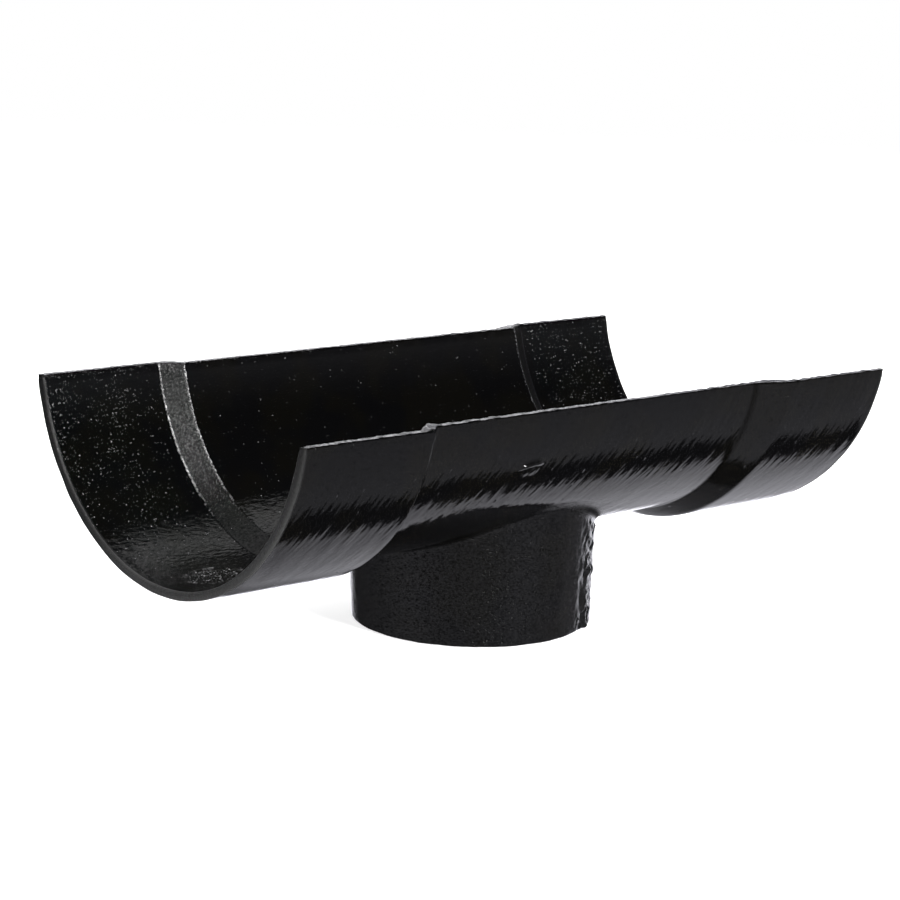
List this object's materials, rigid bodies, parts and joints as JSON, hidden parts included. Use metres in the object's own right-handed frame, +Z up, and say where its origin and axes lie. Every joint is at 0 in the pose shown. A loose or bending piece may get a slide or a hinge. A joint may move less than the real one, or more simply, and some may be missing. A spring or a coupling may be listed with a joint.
{
  "type": "gutter running outlet",
  "caption": "Cast half-round gutter running outlet with a socket at each end and a tapered spigot below that drops water into a downpipe.",
  "frame": {"origin": "centre of the spigot's lower end, in the plane it stands on", "axes": "+X along the gutter towards the right socket, +Y across the gutter, +Z up out of the open side of the trough"},
  "size_m": [0.24, 0.1322, 0.08],
  "materials": {
    "painted_iron": "gloss black paint over sand-cast iron"
  },
  "bodies": {
    "root": {"outlet_casting": "painted_iron"}
  },
  "joints": []
}
